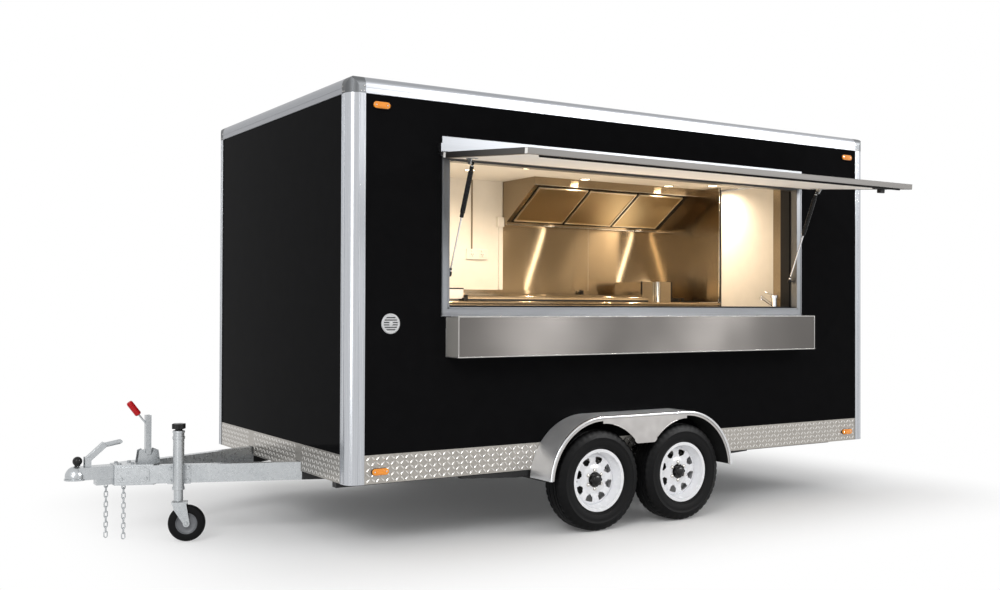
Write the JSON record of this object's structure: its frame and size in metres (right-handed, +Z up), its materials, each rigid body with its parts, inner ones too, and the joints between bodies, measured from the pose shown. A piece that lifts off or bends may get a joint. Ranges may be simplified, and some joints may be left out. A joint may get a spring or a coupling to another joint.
{
  "type": "food trailer",
  "caption": "Two-axle towed food trailer with a black box body, a lift-up serving hatch with counter, a fitted kitchen, rear door, mudguards, drawbar and jockey wheel.",
  "frame": {"origin": "on the ground under the centre of the outline, hatch open", "axes": "+X forward to the tow coupling, +Y to the serving side, +Z up"},
  "size_m": [5.205, 3.173, 2.495],
  "materials": {
    "black_panel": "gloss black gel coat on sandwich panel",
    "roof_panel": "white gel coat on sandwich panel",
    "floor_vinyl": "grey studded vinyl",
    "aluminium_trim": "satin anodised extrusion",
    "cast_aluminium": "grey cast corner",
    "tread_plate": "bright tread plate",
    "polished_aluminium": "polished sheet",
    "stainless_steel": "brushed stainless sheet",
    "galvanised_steel": "hot dip galvanised",
    "black_steel": "satin black paint",
    "white_steel": "gloss white enamel",
    "chrome_steel": "chrome plate",
    "tyre_rubber": "black rubber",
    "amber_lens": "amber lens",
    "red_lens": "red lens",
    "white_plastic": "white moulding"
  },
  "bodies": {
    "trailer": {"chassis_frame": "black_steel", "drawbar": "galvanised_steel", "axles": "black_steel", "floor_panel": "floor_vinyl", "front_wall": "black_panel", "rear_wall": "black_panel", "left_wall": "black_panel", "right_wall": "black_panel", "roof": "roof_panel", "corner_posts": "aluminium_trim", "roof_rails": "aluminium_trim", "corner_caps": "cast_aluminium", "skirt_plates": "tread_plate", "hatch_frame": "aluminium_trim", "serving_counter": "stainless_steel", "door_frame": "aluminium_trim", "mudguards": "polished_aluminium", "marker_lamps": "amber_lens", "tail_lamps": "red_lens", "number_plate": "white_plastic", "coupling_head": "galvanised_steel", "jockey_stand": "galvanised_steel", "safety_chains": "galvanised_steel", "range_hood": "stainless_steel", "cooking_bench": "stainless_steel", "serving_bench": "stainless_steel", "mixer_tap": "chrome_steel", "griddle": "stainless_steel", "fryer": "stainless_steel", "gas_burner": "black_steel", "induction_hob": "white_plastic"},
    "wheel_front_left": {"tyre_front_left": "tyre_rubber", "rim_front_left": "white_steel"},
    "wheel_front_right": {"tyre_front_right": "tyre_rubber", "rim_front_right": "white_steel"},
    "wheel_rear_left": {"tyre_rear_left": "tyre_rubber", "rim_rear_left": "white_steel"},
    "wheel_rear_right": {"tyre_rear_right": "tyre_rubber", "rim_rear_right": "white_steel"},
    "jockey_fork": {"jockey_fork": "galvanised_steel"},
    "jockey_wheel": {"jockey_wheel": "tyre_rubber"},
    "serving_hatch": {"serving_hatch": "roof_panel"},
    "strut_tube_front": {"strut_tube_front": "black_steel"},
    "strut_rod_front": {"strut_rod_front": "chrome_steel"},
    "strut_tube_rear": {"strut_tube_rear": "black_steel"},
    "strut_rod_rear": {"strut_rod_rear": "chrome_steel"},
    "rear_door": {"rear_door": "black_panel"},
    "handbrake_lever": {"handbrake_lever": "galvanised_steel"},
    "coupling_lever": {"coupling_lever": "galvanised_steel"}
  },
  "joints": [
    {"name": "wheel_spin_front_left", "type": "hinge", "parent": "trailer", "child": "wheel_front_left", "pos_m": [-0.0835, 0.8075, 0.292], "axis": [0, 1, 0], "continuous": true},
    {"name": "wheel_spin_front_right", "type": "hinge", "parent": "trailer", "child": "wheel_front_right", "pos_m": [-0.0835, -1.4805, 0.292], "axis": [0, 1, 0], "continuous": true},
    {"name": "wheel_spin_rear_left", "type": "hinge", "parent": "trailer", "child": "wheel_rear_left", "pos_m": [-0.7215, 0.8075, 0.292], "axis": [0, 1, 0], "continuous": true},
    {"name": "wheel_spin_rear_right", "type": "hinge", "parent": "trailer", "child": "wheel_rear_right", "pos_m": [-0.7215, -1.4805, 0.292], "axis": [0, 1, 0], "continuous": true},
    {"name": "jockey_swivel", "type": "hinge", "parent": "trailer", "child": "jockey_fork", "pos_m": [2.0505, -0.11806, 0.213], "axis": [0, 0, 1], "continuous": true},
    {"name": "jockey_wheel_spin", "type": "hinge", "parent": "jockey_fork", "child": "jockey_wheel", "pos_m": [2.00878, -0.10121, 0.1], "axis": [0.3746, 0.9272, 0], "continuous": true},
    {"name": "hatch_hinge", "type": "hinge", "parent": "trailer", "child": "serving_hatch", "pos_m": [-0.5275, 0.751, 2.116], "axis": [1, 0, 0], "range_deg": [-85, 0]},
    {"name": "strut_swing_front", "type": "hinge", "parent": "serving_hatch", "child": "strut_tube_front", "pos_m": [0.8005, 0.91608, 2.05237], "axis": [1, 0, 0], "range_deg": [-0.5, 104.87]},
    {"name": "strut_slide_front", "type": "slide", "parent": "strut_tube_front", "child": "strut_rod_front", "axis": [0, -0.3777, -0.9259], "range_m": [-0.15339, 0.001]},
    {"name": "strut_swing_rear", "type": "hinge", "parent": "serving_hatch", "child": "strut_tube_rear", "pos_m": [-1.8555, 0.91608, 2.05237], "axis": [1, 0, 0], "range_deg": [-0.5, 104.87]},
    {"name": "strut_slide_rear", "type": "slide", "parent": "strut_tube_rear", "child": "strut_rod_rear", "axis": [0, -0.3777, -0.9259], "range_m": [-0.15339, 0.001]},
    {"name": "rear_door_hinge", "type": "hinge", "parent": "trailer", "child": "rear_door", "pos_m": [-2.5855, -0.6815, 1.3], "axis": [0, 0, 1], "range_deg": [0, 110]},
    {"name": "handbrake_pivot", "type": "hinge", "parent": "trailer", "child": "handbrake_lever", "pos_m": [2.1595, -0.3365, 0.442], "axis": [0, 1, 0], "range_deg": [-65, 0]},
    {"name": "coupling_latch", "type": "hinge", "parent": "trailer", "child": "coupling_lever", "pos_m": [2.4825, -0.3365, 0.452], "axis": [0, 1, 0], "range_deg": [0, 55]}
  ],
  "couplings": [
    {"joint": "strut_swing_front", "follows": "hatch_hinge", "ratio": -1.2278},
    {"joint": "strut_slide_front", "follows": "hatch_hinge", "m_per_rad": 0.10272},
    {"joint": "strut_swing_rear", "follows": "hatch_hinge", "ratio": -1.2278},
    {"joint": "strut_slide_rear", "follows": "hatch_hinge", "m_per_rad": 0.10272}
  ]
}
